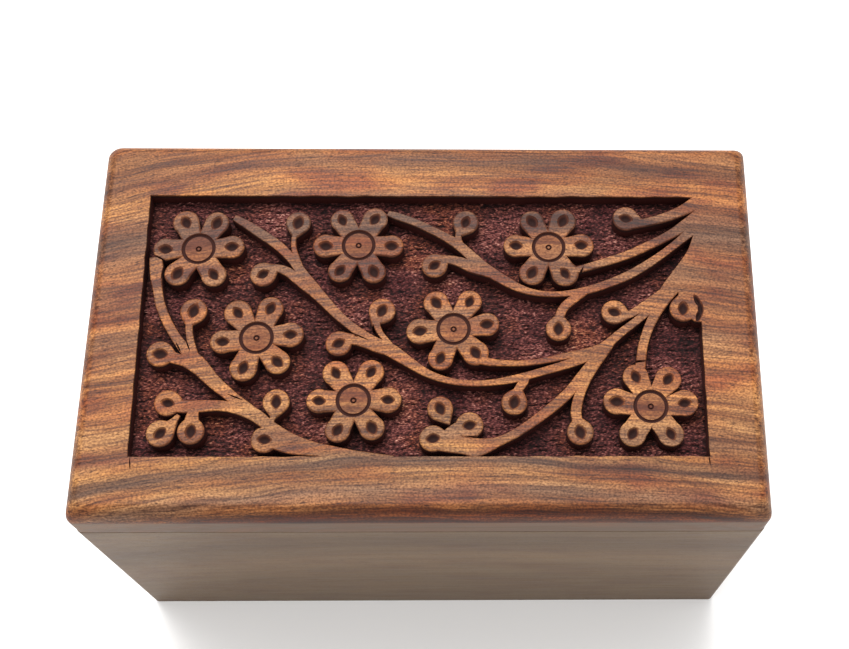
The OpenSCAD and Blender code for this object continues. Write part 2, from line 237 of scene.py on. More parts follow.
for rise, spread in ((0.2, 0.05), (1.0, 0.0)):
    bpy.ops.mesh.extrude_edges_move(TRANSFORM_OT_translate={"value": (0, 0, rise * MM)})
    bpy.ops.transform.resize(value=(1 + spread / 53, 1 + spread / 26.5, 1), center_override=(0, 0, 0))
bpy.ops.mesh.edge_face_add()
bpy.ops.mesh.select_all(action="SELECT")
bpy.ops.mesh.normals_make_consistent(inside=False)
bpy.ops.object.mode_set(mode="OBJECT")

# ---------------------------------------------------------------- Flowers, buds and vine
# All of one piece with the board: what stands up is what the carver left, level with the border. Each
# flower is cut to one outline with sharp notches between its petals, and its top edges are rubbed soft.
relief_low = ground_z - MM
relief_high = lid_high.z
hand = random.Random(7)

flowers = [
    (-43.3, 14.6, (4, 61, 117, 181, 235, 301)),
    (-12.8, 15.4, (-1, 62, 122, 181, 238, 299)),
    (23.7, 15.1, (4, 63, 120, 177, 239, 299)),
    (-31.1, -3.7, (6, 69, 127, 187, 251, 311)),
    (5.6, -1.9, (9, 62, 122, 184, 248, 311)),
    (-12.6, -16, (1, 61, 123, 181, 245, 304)),
    (42, -17.2, (6, 57, 114, 171, 236, 303)),
]
petal_reach = 6.3
petal_radius = 2.5
notch_reach = 4.1
bud_radius = 2.5
bud_tail = 3.7
softened = 0.4
stem_softened = 0.3
# Each bud: where it is, and which way its stalk leaves it.
buds = [
    (38.8, 21.3, -10), (7.7, 20.4, 245), (-24.6, 20.2, 260), (1.8, 11.2, 35), (-30.7, 9.3, 30),
    (-43.2, 1.7, 255), (-7.9, 1.8, 240), (35.9, 1.6, -15), (49, 2.3, 90), (25.3, -1.8, 85),
    (-15.8, -4.8, 30), (-48.7, -6.9, -10), (16.9, -16.4, 70), (-26.7, -16.3, 265), (3.3, -17.6, -60),
    (-46.4, -16.5, -10), (8.7, -20.8, 200), (-41.8, -21.9, 90), (-47.3, -22.3, 35), (28.9, -22.1, 100),
    (2.1, -23.3, 0), (-28.4, -23.5, 0),
]
# Each stem of the vine: points down its middle, with its width there.
stems = [
    [(39, 19.9, 2), (43, 20.6, 1.8), (47, 21.8, 2), (50.5, 23.4, 2.4), (54, 25.5, 3.5)],
    [(28.6, 10.2, 1.4), (31, 10.9, 1.5), (34.5, 12, 1.6), (39, 13.6, 1.7), (43.5, 15.8, 1.8),
     (47.5, 18, 1.9), (51, 20.3, 2.6), (54, 22, 4)],
    [(-7.4, 22.3, 1), (-6.2, 21.9, 1.4), (-4.5, 21.3, 1.5), (-2, 20.3, 1.5), (2.5, 18, 1.6), (6, 15.8, 1.9),
     (9, 13, 2), (11.5, 10.6, 2.2), (15, 8.2, 2), (18.5, 6.3, 1.5), (22, 5.4, 1.1), (26, 5.3, 1.1),
     (30.5, 6, 1.5), (35, 7.5, 1.6), (39, 9.3, 1.7), (43, 11.8, 1.6), (47, 14.8, 1.5), (50.5, 17.8, 1.8),
     (54, 21, 3)],
    [(2.2, 11.8, 1.6), (3.8, 12.5, 1.6), (6.5, 12, 2), (9, 10.9, 2.4), (12, 9.8, 2), (15, 8.1, 0.8)],
    [(32.5, 6.8, 0.5), (30.4, 5.8, 1.5), (28.3, 4.3, 1.8), (26.3, 2.4, 1.8), (25.1, -0.6, 1.8)],
    [(7.3, 19.8, 1.4), (6.5, 18.3, 1.3), (6.4, 16.6, 1.2), (7.6, 14.3, 1)],
    [(-24.8, 19.6, 1.2), (-25.2, 17.6, 1), (-25.2, 15, 1), (-24.3, 12.2, 1.2), (-22.9, 9.2, 1)],
    [(-37, 21.3, 1.2), (-35.8, 20.6, 1.5), (-34.3, 19.7, 1.7), (-32, 18.1, 1.9), (-28.5, 15.6, 1.9),
     (-25.5, 12.6, 1.8), (-23.3, 9.5, 2), (-21.5, 6.8, 2.6), (-19, 4, 2.2), (-16, 0.8, 1.8),
     (-13, -1.8, 1.7), (-9.5, -4.4, 2.2), (-6, -6.2, 2.6), (-2.5, -8.6, 2), (1, -10.8, 1.5),
     (5, -12.2, 1.2), (9, -12.7, 1.1), (13, -12.5, 1.2), (17.5, -11.7, 1.5), (22, -10.4, 1.5),
     (26.5, -9, 1.7), (30.5, -7.4, 1.9), (34, -5.2, 1.8), (37, -2.6, 1.6), (40.5, 0.2, 1.5),
     (43.5, 3, 1.8), (46.5, 6, 2.4), (49, 9, 4)],
    [(-30, 10.1, 1.4), (-28.4, 10.6, 1.5), (-26.2, 9.9, 1.8), (-24, 8.2, 2), (-21.5, 6, 1.8),
     (-19, 4, 0.8)],
    [(-8.4, 1, 1.5), (-8.8, -0.8, 1.3), (-8, -2.8, 1.1), (-6, -5.2, 0.9), (-4.8, -6.8, 0.5)],
    [(-15.2, -4.5, 1.8), (-13.2, -4.2, 1.7), (-11, -4.7, 1.8), (-8, -5.8, 2), (-4.5, -7.2, 0.8)],
    [(10.6, -8, 1.8), (12.5, -8.5, 1.5), (15, -8.7, 1.2), (19, -8.7, 1.1), (23, -8.1, 1.2), (27, -7.2, 1.4),
     (31, -6.3, 1.4), (35.6, -4, 0.4)],
    [(2.6, -23.4, 4.2), (5.4, -24.1, 3.8), (7.8, -24.7, 3.2), (9.8, -25, 3.6), (12, -24.6, 2.7),
     (14.2, -23.8, 1.8), (17, -22.4, 1.7), (20.5, -20, 1.8), (24, -17.2, 2), (27, -14.4, 2),
     (29.3, -11.3, 1.8), (31.5, -8.4, 1.6), (34, -5.8, 1.3), (36.4, -3.2, 0.4)],
    [(28.7, -21, 1.8), (28.2, -18.4, 2), (28.9, -15, 1.9), (30.3, -12, 1.6), (32.2, -9, 1.4),
     (34.4, -6, 1.2), (36.6, -3, 0.4)],
    [(40.3, -10.2, 1.9), (40.6, -8, 1.9), (41, -5.5, 1.8), (41.8, -2.8, 1.8), (43, 0, 1.9), (44.8, 3, 2),
     (47, 6.2, 2.6), (49, 9, 4)],
    [(36.8, 1, 1.6), (38.3, 0.9, 1.4), (40.5, 2.1, 1.6), (43.5, 4.2, 1.8), (46.5, 6.2, 2.2)],
    [(-51.4, 12.9, 2.2), (-51, 10.8, 2.6), (-50.8, 8.4, 2.2), (-50.3, 6, 1.8), (-49.6, 3.2, 1.8),
     (-48.2, 0, 1.8), (-46.3, -3.2, 1.8), (-44, -6.2, 2.2), (-41.5, -9, 3.2), (-38.5, -12.2, 2.6),
     (-35, -15.2, 2.2), (-31.5, -18, 2.4), (-28, -20.6, 2.2), (-24.5, -22.9, 2.2),
     (-20.5, -24.8, 2.4), (-16, -26, 2.6), (-11, -26.9, 2.4), (-5, -27.7, 2.4)],
    [(-43.4, 0.8, 1.6), (-43.8, -1, 1.4), (-43.5, -3.4, 1.3), (-42.6, -6.4, 1.5), (-41.2, -9, 1)],
    [(-47.8, -7.2, 2.2), (-46, -7.7, 2.2), (-43.8, -8.5, 2), (-41, -10.3, 2), (-38, -13, 0.8)],
    [(-45.6, -16.8, 2.2), (-43.6, -17.2, 2.4), (-40.5, -17.1, 2.3), (-37, -17, 2), (-33.5, -17.6, 2.2),
     (-30, -19, 2.4), (-26.4, -21.6, 1)],
    [(-27.6, -23.7, 2.2), (-25.6, -24.4, 2.4), (-23, -25.2, 2.2), (-18, -26.2, 1)],
    [(-26.8, -17, 1.4), (-26.9, -18.4, 1.2), (-27.6, -21, 0.8)],
    [(7.6, -21.2, 3), (5.8, -22, 2.6), (4, -22.8, 1.5)],
    [(-41.8, -20.6, 3), (-41.7, -18.8, 2.2), (-41.2, -17.2, 1.6)],
    [(-46.4, -21.4, 2.6), (-45.2, -20.2, 1.5), (-44.2, -18.8, 0.8)],
    [(49.4, 2.6, 3.6), (50, 4.8, 3.6), (50.2, 7.4, 3.8)],
    [(17.1, -15.4, 1.6), (17.6, -14, 1.6), (18.8, -12.2, 1.6), (19.6, -11, 0.5)],
]
# Where the vine grows out of the right-hand border, the border's wood runs on into the field. Its edge
# is a smooth run from the back to the fork of the last two stems.
trunk_edge = [(52.3, 19.4), (51.5, 17), (50.5, 14.5), (49, 12.2), (47.3, 9.9), (45.6, 7.6), (44.4, 5.6)]
trunk_back = [(46, 5.4), (47.4, 6.4), (48.2, 5.6), (50.4, 4.8), (51, 2.4), (50, 0.6), (51, -0.3),
              (54, -0.6), (54, 19.4)]


def stand_up(piece, softness):
    """Draws a flat shape up through the field and rounds its top edges."""
    only(piece)
    bpy.ops.object.mode_set(mode="EDIT")
    bpy.ops.mesh.select_all(action="SELECT")
    height = relief_high - relief_low
    bpy.ops.mesh.extrude_region_move(TRANSFORM_OT_translate={"value": (0, 0, height)})
    bpy.ops.mesh.region_to_loop()
    bpy.ops.mesh.bevel(offset=softness * MM, segments=3, affect="EDGES", clamp_overlap=True)
    pick_faces(piece, lambda corner: near(corner.z, relief_high))
    bpy.ops.mesh.extrude_region_move(TRANSFORM_OT_translate={"value": (0, 0, 2 * MM)})
    bpy.ops.mesh.select_all(action="SELECT")
    bpy.ops.mesh.normals_make_consistent(inside=False)
    bpy.ops.object.mode_set(mode="OBJECT")


def slab(name, outline):
    """A flat outline in millimetres, stood up through the field."""
    bpy.ops.mesh.primitive_circle_add(vertices=len(outline), radius=MM, fill_type="NGON")
    piece = bpy.context.object
    piece.name = name
    for point, place in zip(piece.data.vertices, outline):
        point.co = Vector((place[0] * MM, place[1] * MM, relief_low))
    stand_up(piece, softened)
    return piece


def flower(x, y, turns):
    """A flower's slab: round petals, whose sides run straight in to a sharp notch between each two."""
    outline = []
    for number, turn in enumerate(turns):
        radius = petal_radius * hand.uniform(0.93, 1.06)
        tangent = math.pi / 2 + math.asin(radius / petal_reach)
        heading = math.radians(turn)
        for step in range(-8, 9):
            around = heading + tangent * step / 8
            outline.append((x + petal_reach * math.cos(heading) + radius * math.cos(around),
                            y + petal_reach * math.sin(heading) + radius * math.sin(around)))
        gap = (turns[(number + 1) % len(turns)] - turn) % 360
        notch = math.radians(turn + gap / 2)
        outline.append((x + notch_reach * math.cos(notch), y + notch_reach * math.sin(notch)))
    return slab("flower", outline)


def bud(x, y, turn):
    """A bud's slab: round, with sides that run straight in to the tail that joins its stalk."""
    radius = bud_radius * hand.uniform(0.96, 1.04)
    away = math.radians(turn + 180)
    tangent = math.pi - math.acos(radius / bud_tail)
    outline = [(x - bud_tail * math.cos(away), y - bud_tail * math.sin(away))]
    for step in range(-9, 10):
        around = away + tangent * step / 9
        outline.append((x + radius * math.cos(around), y + radius * math.sin(around)))
    return slab("bud", outline)


def copied(master, x, y, turn, size=1.0):
    """A copy of a master with its own mesh, set on the lid and turned."""
    piece = master.copy()
    piece.data = master.data.copy()
    bpy.context.collection.objects.link(piece)
    place = Matrix.Translation((x * MM, y * MM, 0)) @ Matrix.Rotation(math.radians(turn), 4, "Z")
    piece.data.transform(place @ Matrix.Diagonal((size, size, 1, 1)))
    return piece


def joined(pieces):
    """Several separate shapes as one object."""
    bpy.ops.object.select_all(action="DESELECT")
    for piece in pieces:
        piece.select_set(True)
    bpy.context.view_layer.objects.active = pieces[0]
    bpy.ops.object.join()
    return bpy.context.object


def petal_places():
    """Every petal's middle and direction."""
    for x, y, turns in flowers:
        for turn in turns:
            out = Vector((petal_reach, 0)) @ Matrix.Rotation(-math.radians(turn), 2)
            yield x + out.x, y + out.y, turn


def curve_through(points, per_span=6):
    """A smooth run through points and widths."""
    ends = [points[0]] + points + [points[-1]]
    run = []
    for i in range(len(points) - 1):
        a, b, c, d = (Vector(p) for p in ends[i:i + 4])
        for k in range(per_span):
            t = k / per_span
            run.append(b + (c - a) * t / 2 + (2 * a - 5 * b + 4 * c - d) * t * t / 2
                       + (3 * (b - c) + d - a) * t ** 3 / 2)
    return run + [Vector(points[-1])]


def stem(name, points):
    """A flat strip laid along its run and stood up."""
    run = curve_through(points)
    spans = len(run) - 1
    bpy.ops.mesh.primitive_grid_add(x_subdivisions=spans, y_subdivisions=1, size=1)
    piece = bpy.context.object
    piece.name = name
    for point in piece.data.vertices:
        i = round((point.co.x + 0.5) * spans)
        along = (run[min(i + 1, spans)] - run[max(i - 1, 0)]).to_2d().normalized()
        out = Vector((-along.y, along.x)) * run[i].z / 2 * (1 if point.co.y > 0 else -1)
        point.co = Vector((run[i].x + out.x, run[i].y + out.y, 0)) * MM
        point.co.z = relief_low
    stand_up(piece, stem_softened)
    return piece


relief = joined([flower(x, y, turns) for x, y, turns in flowers])
relief.name = "relief"
work(relief, joined([bud(x, y, turn) for x, y, turn in buds]), "UNION")
for number, points in enumerate(stems):
    work(relief, stem(f"stem_{number}", points), "UNION")
trunk_run = [tuple(point) for point in curve_through(trunk_edge)]
work(relief, slab("trunk", trunk_run + trunk_back), "UNION")

work(field, relief, "DIFFERENCE")
work(lid, field, "DIFFERENCE")

# ---------------------------------------------------------------- Gouge cuts
# One push of a small gouge hollows each petal and bud to an almond, and a round cutter turned by hand
# makes the ring and the eye of each flower. Knife cuts part the stems where they meet, and three wider
# cuts in a row part the last bud from the border.
hollow_length = 3.1
hollow_width = 2.1
ring_radius = 2.9
ring_width = 0.75
ring_depth = 0.6
eye_radius = 0.42
eye_width = 0.42
eye_depth = 0.35
button_drop = 0.2
# Each knife cut: its middle, its direction, its length and its width.
knife_cuts = [
    (39.9, -8.4, 5, 4, 0.5), (51.8, 3.8, 114, 3.4, 1.2), (52.3, 2.3, 91, 3.6, 1.2),
    (51.9, 0.9, 70, 3.2, 1.2),
    (-52.1, -28, 98, 2.4, 0.25), (52.2, -27.6, 95, 2, 0.25), (-45.4, -5.6, -61, 2.4, 0.3),
    (-43.7, -5.2, -67, 2.6, 0.3), (29.7, 9.6, 66, 3.2, 0.5), (-49.7, 9.8, 84, 3.6, 0.4),
    (-50.4, 12.6, -28, 3.4, 0.4), (9.4, -23, -4, 3.6, 0.3), (-34.2, -15.4, -22, 3.4, 0.3),
    (-11.9, -3.4, -25, 3.8, 0.3),
]


def hollow(name, length, width):
    """The shape that one gouge cut takes out, widest at the top and pointed at both ends."""
    bpy.ops.mesh.primitive_circle_add(vertices=24, radius=0.5 * MM, fill_type="NGON")
    piece = bpy.context.object
    piece.name = name
    for point in piece.data.vertices:
        point.co.y *= width * (1 - 0.75 * (point.co.x / (0.5 * MM)) ** 2) ** 0.5
        point.co.x *= length
        point.co.z = lid_high.z + 0.6 * MM
    bpy.ops.object.mode_set(mode="EDIT")
    bpy.ops.mesh.select_all(action="SELECT")
    bpy.ops.transform.resize(value=(1.25, 1.25, 1), center_override=(0, 0, 0))
    # The first step reaches the surface, and the others go down into the wood.
    for drop, shrink in ((0.6, 0.8), (0.25, 0.85), (0.35, 0.7), (0.3, 0.5)):
        bpy.ops.mesh.extrude_region_move(TRANSFORM_OT_translate={"value": (0, 0, -drop * MM)})
        bpy.ops.transform.resize(value=(shrink, shrink, 1), center_override=(0, 0, 0))
    bpy.ops.mesh.select_all(action="SELECT")
    bpy.ops.mesh.normals_make_consistent(inside=False)
    bpy.ops.object.mode_set(mode="OBJECT")
    return piece


def round_cut(x, y, radius, width, depth):
    """The ring that a round cutter takes out."""
    bpy.ops.mesh.primitive_torus_add(
        major_segments=40, minor_segments=12, major_radius=radius * MM, minor_radius=width / 2 * MM,
        location=(x * MM, y * MM, lid_high.z))
    piece = bpy.context.object
    piece.scale.z = 2 * depth / width
    settle(piece)
    return piece


hollow_master = hollow("hollow", hollow_length, hollow_width)
hollows = [copied(hollow_master, x, y, turn + hand.uniform(-8, 8), hand.uniform(0.9, 1.08))
           for x, y, turn in petal_places()]
hollows += [copied(hollow_master, x, y, turn + hand.uniform(-8, 8), hand.uniform(0.9, 1.1))
            for x, y, turn in buds]
bpy.data.objects.remove(hollow_master)
work(lid, joined(hollows), "DIFFERENCE")
rings = []
buttons = []
for x, y, turns in flowers:
    rings.append(round_cut(x, y, ring_radius, ring_width, ring_depth))
    rings.append(round_cut(x, y, eye_radius, eye_width, eye_depth + button_drop))
    # The button inside the ring is scraped down a hair, so that it keeps some of the stain.
    bpy.ops.mesh.primitive_cylinder_add(
        vertices=40, radius=(ring_radius - 0.25) * MM, depth=2 * MM,
        location=(x * MM, y * MM, lid_high.z + MM - button_drop * MM))
    settle(bpy.context.object)
    buttons.append(bpy.context.object)
work(lid, joined(buttons), "DIFFERENCE")
work(lid, joined(rings), "DIFFERENCE")
for x, y, turn, length, width in knife_cuts:
    knife = hollow("knife_cut", length, width)
    turned = Matrix.Rotation(math.radians(turn), 4, "Z")
    knife.data.transform(Matrix.Translation((x * MM, y * MM, 0)) @ turned)
    work(lid, knife, "DIFFERENCE")

only(lid)
bpy.ops.object.shade_smooth_by_angle(angle=math.radians(50))
flats = lid.modifiers.new("flats", "WEIGHTED_NORMAL")
flats.keep_sharp = True
bpy.ops.object.modifier_apply(modifier=flats.name)

# ---------------------------------------------------------------- Rosewood
# Indian rosewood, planed, waxed and rubbed: long arched growth bands of gold, orange and purple-brown
# run the length of a board, blotched and full of short dark pores, under a satin surface.


def linear(code):
    """An sRGB hex colour as the linear colour that the shaders take."""
    parts = [int(code[i:i + 2], 16) / 255 for i in (1, 3, 5)]
    return tuple(p / 12.92 if p <= 0.04045 else ((p + 0.055) / 1.055) ** 2.4 for p in parts) + (1.0,)


def add(tree, kind, inputs, out=0, stops=(), **settings):
    """Adds a node with its settings, fills or links its inputs, and gives one of its outputs."""
    made = tree.nodes.new("ShaderNode" + kind)
    for name, value in settings.items():
        setattr(made, name, value)
    for key, value in inputs.items():
        if isinstance(value, bpy.types.NodeSocket):
            tree.links.new(value, made.inputs[key])
        else:
            made.inputs[key].default_value = value
    for number, (place, code) in enumerate(stops):
        line = made.color_ramp.elements
        stop = line[number] if number < 2 else line.new(place)
        stop.position = place
        stop.color = linear(code)
    return made.outputs[out]


def drawn(tree, place, scale, detail, seed):
    """Noise drawn out along the grain. The scale is how often it changes in a millimetre, each way."""
    stretched = add(tree, "VectorMath", {0: place, 1: scale}, operation="MULTIPLY")
    return add(tree, "TexNoise", {"Vector": stretched, "Scale": 1.0, "Detail": detail, "W": seed},
               out="Fac", noise_dimensions="4D")


def rosewood(name, bands, middle, sag, seed, dashes=0.8, figure=1.0):
    """A board's rosewood. Its bands lie across Y, arch along X round the middle, and tilt through Z. The
    dashes are how strongly the pores show, and the figure how strongly everything else does."""
    tilt = 0.45
    long_sway = 4.5
    short_sway = 1.8
    wood = bpy.data.materials.new(name)
    wood.use_nodes = True
    tree = wood.node_tree
    shader = tree.nodes["Principled BSDF"]
    metres = add(tree, "TexCoord", {}, out="Object")
    place = add(tree, "VectorMath", {0: metres, 1: (1000, 1000, 1000)}, operation="MULTIPLY")
    x = add(tree, "SeparateXYZ", {0: place}, out="X")
    y = add(tree, "SeparateXYZ", {0: place}, out="Y")
    z = add(tree, "SeparateXYZ", {0: place}, out="Z")
    # The bands arch down by a sag that shrinks towards +X, and then sway and tilt.
    off = add(tree, "MapRange", {0: x, 1: middle - 65, 2: middle + 65, 3: -1, 4: 1}, clamp=False)
    squared = add(tree, "Math", {0: off, 1: off}, operation="MULTIPLY")
    sagging = add(tree, "Math", {0: off, 1: -0.25 * sag, 2: sag}, operation="MULTIPLY_ADD")
    arched = add(tree, "Math", {0: squared, 1: sagging, 2: y}, operation="MULTIPLY_ADD")
    tilted = add(tree, "Math", {0: z, 1: tilt, 2: arched}, operation="MULTIPLY_ADD")
    wander = drawn(tree, place, (0.022, 0.06, 0.06), 2.0, seed)
    wandered = add(tree, "Math", {0: wander, 1: long_sway, 2: tilted}, operation="MULTIPLY_ADD")
    ripple = drawn(tree, place, (0.05, 0.2, 0.2), 1.0, seed + 3)
    level = add(tree, "Math", {0: ripple, 1: short_sway, 2: wandered}, operation="MULTIPLY_ADD")
    laid = add(tree, "CombineXYZ", {0: x, 1: level, 2: z})
    # The level holds half of each sway, and the tilt up to the lid's top, so the bands allow for them.
    extra = tilt * lid_high.z / MM + long_sway / 2 + short_sway / 2
    low, high = bands[0][0], bands[-1][0]
    across_board = add(tree, "MapRange", {0: level, 1: low + extra, 2: high + extra})
    band_stops = [((v - low) / (high - low), code) for v, code in bands]
    colour = add(tree, "ValToRGB", {0: across_board}, stops=band_stops)
    # Blotches 5 to 10 mm long go from gold to a dull rose.
    blotch = drawn(tree, laid, (0.07, 0.22, 0.22), 2.0, seed + 13)
    tint = add(tree, "ValToRGB", {0: blotch},
               stops=[(0.36, "#d2aca6"), (0.62, "#ffffff"), (0.5, "#fff2e6")])
    colour = add(tree, "Mix", {0: figure, 6: colour, 7: tint},
                 out=2, data_type="RGBA", blend_type="MULTIPLY")
    # Streaks lie 2 mm apart and fibres 0.4 mm apart, and a fine grit lies over both.
    streak = drawn(tree, laid, (0.02, 0.45, 0.45), 3.0, seed + 7)
    shade = add(tree, "ValToRGB", {0: streak}, stops=[(0.36, "#bcaaa2"), (0.58, "#ffffff")])
    colour = add(tree, "Mix", {0: figure, 6: colour, 7: shade},
                 out=2, data_type="RGBA", blend_type="MULTIPLY")
    fibre = drawn(tree, laid, (0.07, 2.3, 2.3), 3.0, seed + 5)
    shade = add(tree, "ValToRGB", {0: fibre}, stops=[(0.36, "#a8968c"), (0.58, "#ffffff")])
    colour = add(tree, "Mix", {0: figure, 6: colour, 7: shade},
                 out=2, data_type="RGBA", blend_type="MULTIPLY")
    grit = drawn(tree, place, (2.2, 3.0, 3.0), 2.0, seed + 9)
    shade = add(tree, "ValToRGB", {0: grit}, stops=[(0.38, "#b4a9a2"), (0.6, "#ffffff")])
    colour = add(tree, "Mix", {0: figure, 6: colour, 7: shade},
                 out=2, data_type="RGBA", blend_type="MULTIPLY")
    # Pores are dark dashes 1 to 2 mm long and 0.2 mm wide.
    pores = drawn(tree, laid, (0.5, 4.4, 4.0), 1.0, seed + 11)
    pored = add(tree, "MapRange", {0: pores, 1: 0.61, 2: 0.67, 4: dashes})
    colour = add(tree, "Mix", {0: pored, 6: colour, 7: linear("#2a1008")}, out=2, data_type="RGBA")
    tree.links.new(colour, shader.inputs["Base Color"])
    rough = add(tree, "MapRange", {0: fibre, 1: 0.3, 2: 0.7, 3: 0.46, 4: 0.6})
    tree.links.new(rough, shader.inputs["Roughness"])
    shader.inputs["Specular IOR Level"].default_value = 0.22
    shader.inputs["IOR"].default_value = 1.5
    hills = add(tree, "Math", {0: fibre, 1: pored}, operation="SUBTRACT")
    bump = add(tree, "Bump", {"Height": hills, "Strength": 0.4, "Distance": 0.05 * MM})
    tree.links.new(bump, shader.inputs["Normal"])
    return wood


# Growth bands of the lid from its front edge to its back edge, in millimetres at the top of their arch.
lid_bands = [
    (-42, "#8e4a1c"), (-40.6, "#401d0c"), (-39.4, "#96501f"), (-38.2, "#4c2410"),
    (-37.1, "#8e4c20"), (-36, "#6a3817"), (-34.5, "#a56f42"), (-32.4, "#8f6a4f"),
    (-30, "#ba8652"), (-28.5, "#b78351"), (-27.2, "#715341"), (-26, "#9d754f"), (-24.5, "#c28d52"),
    (-22, "#9d7250"), (-19, "#b18050"), (-13, "#c48c55"), (-7, "#c1864e"), (-6.2, "#9d683f"),
    (-5.4, "#c1864e"), (1.2, "#a37550"), (4, "#b47947"), (12, "#9d6f4b"), (16, "#b37a49"),
    (19, "#845e45"), (21.5, "#7c5a43"), (25, "#9e6e4b"), (29.5, "#c88c4f"), (32, "#b07947"),
    (33.8, "#855738"), (36, "#a06b40"), (40, "#a77142"),
]
lid_wood = rosewood("waxed_rosewood_lid", lid_bands, 3, 6, 1.0)


def stain_and_painted_shade(wood, floor_height, floor_depth):
    """Dark maroon staining, put into a carved field with a brush and wiped off its top, with painted shade
    laid over it. The staining stays on the floor, walls and cuts; painted shade darkens the floor at the
    feet of the walls, deepens the walls and the bottoms of the cuts, and lays a soft halo along the rims of
    the hollows."""
    field_reach = (55.0, 29.5)
    below_floor = 1.2
    tree = wood.node_tree
    base = tree.nodes["Principled BSDF"].inputs["Base Color"]
    bare_wood = base.links[0].from_socket
    metres = add(tree, "TexCoord", {}, out="Object")
    place = add(tree, "VectorMath", {0: metres, 1: (1000, 1000, 1000)}, operation="MULTIPLY")
    z = add(tree, "SeparateXYZ", {0: place}, out="Z")
    height = add(tree, "Math", {0: z, 1: floor_height / MM}, operation="SUBTRACT")
    # Hollows are found by how much of the sky the nearest 1.6 mm of wood hides, and are darkened there as
    # painted shade.
    sky_seen = add(tree, "AmbientOcclusion", {"Distance": 1.6 * MM}, out="AO", samples=8, only_local=True)
    facing = add(tree, "TexCoord", {}, out="Normal")
    facing_up = add(tree, "SeparateXYZ", {0: facing}, out="Z")
    # The floor's colour follows its height, darker in the pits and lighter on the tops of the punch marks,
    # with a speckle over it: the stain's maroon, with painted shade in the pits and painted highlights on
    # the tops.
    speck = drawn(tree, place, (1.8, 4.8, 1.0), 3.0, 20.0)
    uneven = add(tree, "MapRange", {0: speck, 1: 0.34, 2: 0.66, 3: -0.28, 4: 0.28})
    bumped = add(tree, "Math", {0: height, 1: uneven}, operation="ADD")
    level = add(tree, "MapRange", {0: bumped, 1: -0.4, 2: 0.5})
    ground = add(tree, "ValToRGB", {0: level}, stops=[
        (0.05, "#120504"), (1.0, "#c89a88"), (0.35, "#361413"), (0.55, "#5a2c28"), (0.75, "#875249")])
    patch = drawn(tree, place, (0.1, 0.14, 0.1), 2.0, 22.0)
    tint = add(tree, "ValToRGB", {0: patch},
               stops=[(0.36, "#c6acb8"), (0.64, "#fff0c6"), (0.5, "#ffffff")])
    ground = add(tree, "Mix", {0: 1.0, 6: ground, 7: tint},
                 out=2, data_type="RGBA", blend_type="MULTIPLY")
    # Where nearby wood hides the sky, the floor goes to near-black: painted shade at the feet of the walls.
    shaded = add(tree, "MapRange", {0: sky_seen, 1: 0.3, 2: 0.72})
    ground = add(tree, "Mix", {0: shaded, 6: linear("#1c0706"), 7: ground}, out=2, data_type="RGBA")
    # The walls are painted a darker maroon than the floor: the stain, deepened by painted shade.
    above_floor = add(tree, "MapRange", {0: height, 1: 0.4, 2: 0.7})
    upright = add(tree, "MapRange", {0: facing_up, 1: 0.5, 2: 0.25})
    on_wall = add(tree, "Math", {0: above_floor, 1: upright}, operation="MAXIMUM")
    stained_and_shaded = add(tree, "Mix", {0: on_wall, 6: ground, 7: linear("#3a110c")}, out=2, data_type="RGBA")
    # In the gouge cuts the colour darkens from the edge to the bottom: the stain, deepened towards the
    # bottom by painted shade.
    near_top = add(tree, "MapRange", {0: height, 1: 2.0, 2: 2.3})
    cut_depth = add(tree, "MapRange", {0: height, 1: floor_depth - 0.1, 2: floor_depth - 0.7})
    in_cut = add(tree, "ValToRGB", {0: cut_depth},
                 stops=[(0.0, "#6e3e2c"), (1.0, "#25100c"), (0.5, "#402019")])
    stained_and_shaded = add(tree, "Mix", {0: near_top, 6: stained_and_shaded, 7: in_cut}, out=2, data_type="RGBA")
    # The stain is kept on all that lies below the top. Where nearby wood hides the sky, painted shade is
    # also laid on, as a soft halo along the rims of the hollows.
    sunk = add(tree, "MapRange", {0: height, 1: floor_depth - 0.04, 2: floor_depth - 0.45})
    painted_halo = add(tree, "MapRange", {0: sky_seen, 1: 0.86, 2: 0.62})
    kept_stain_and_halo = add(tree, "Math", {0: sunk, 1: painted_halo}, operation="MAXIMUM")
    # The stain was never put on the underside, the bead or the end grain.
    inside = add(tree, "VectorMath", {0: place}, operation="ABSOLUTE")
    inside_x = add(tree, "SeparateXYZ", {0: inside}, out="X")
    inside_y = add(tree, "SeparateXYZ", {0: inside}, out="Y")
    in_width = add(tree, "Math", {0: inside_x, 1: field_reach[0]}, operation="LESS_THAN")
    in_depth = add(tree, "Math", {0: inside_y, 1: field_reach[1]}, operation="LESS_THAN")
    above = add(tree, "Math", {0: height, 1: -below_floor}, operation="GREATER_THAN")
    field_only = add(tree, "Math", {0: in_width, 1: in_depth}, operation="MULTIPLY")
    field_only = add(tree, "Math", {0: field_only, 1: above}, operation="MULTIPLY")
    stain_and_shade_amount = add(tree, "Math", {0: kept_stain_and_halo, 1: field_only}, operation="MULTIPLY")
    tree.links.new(add(tree, "Mix", {0: stain_and_shade_amount, 6: bare_wood, 7: stained_and_shaded}, out=2, data_type="RGBA"), base)
    # Stained wood was not rubbed, so it stays dull, and the painted shade is left as dull with it.
    rough = tree.nodes["Principled BSDF"].inputs["Roughness"]
    rubbed = rough.links[0].from_socket
    tree.links.new(add(tree, "Mix", {0: stain_and_shade_amount, 2: rubbed, 3: 0.85}), rough)


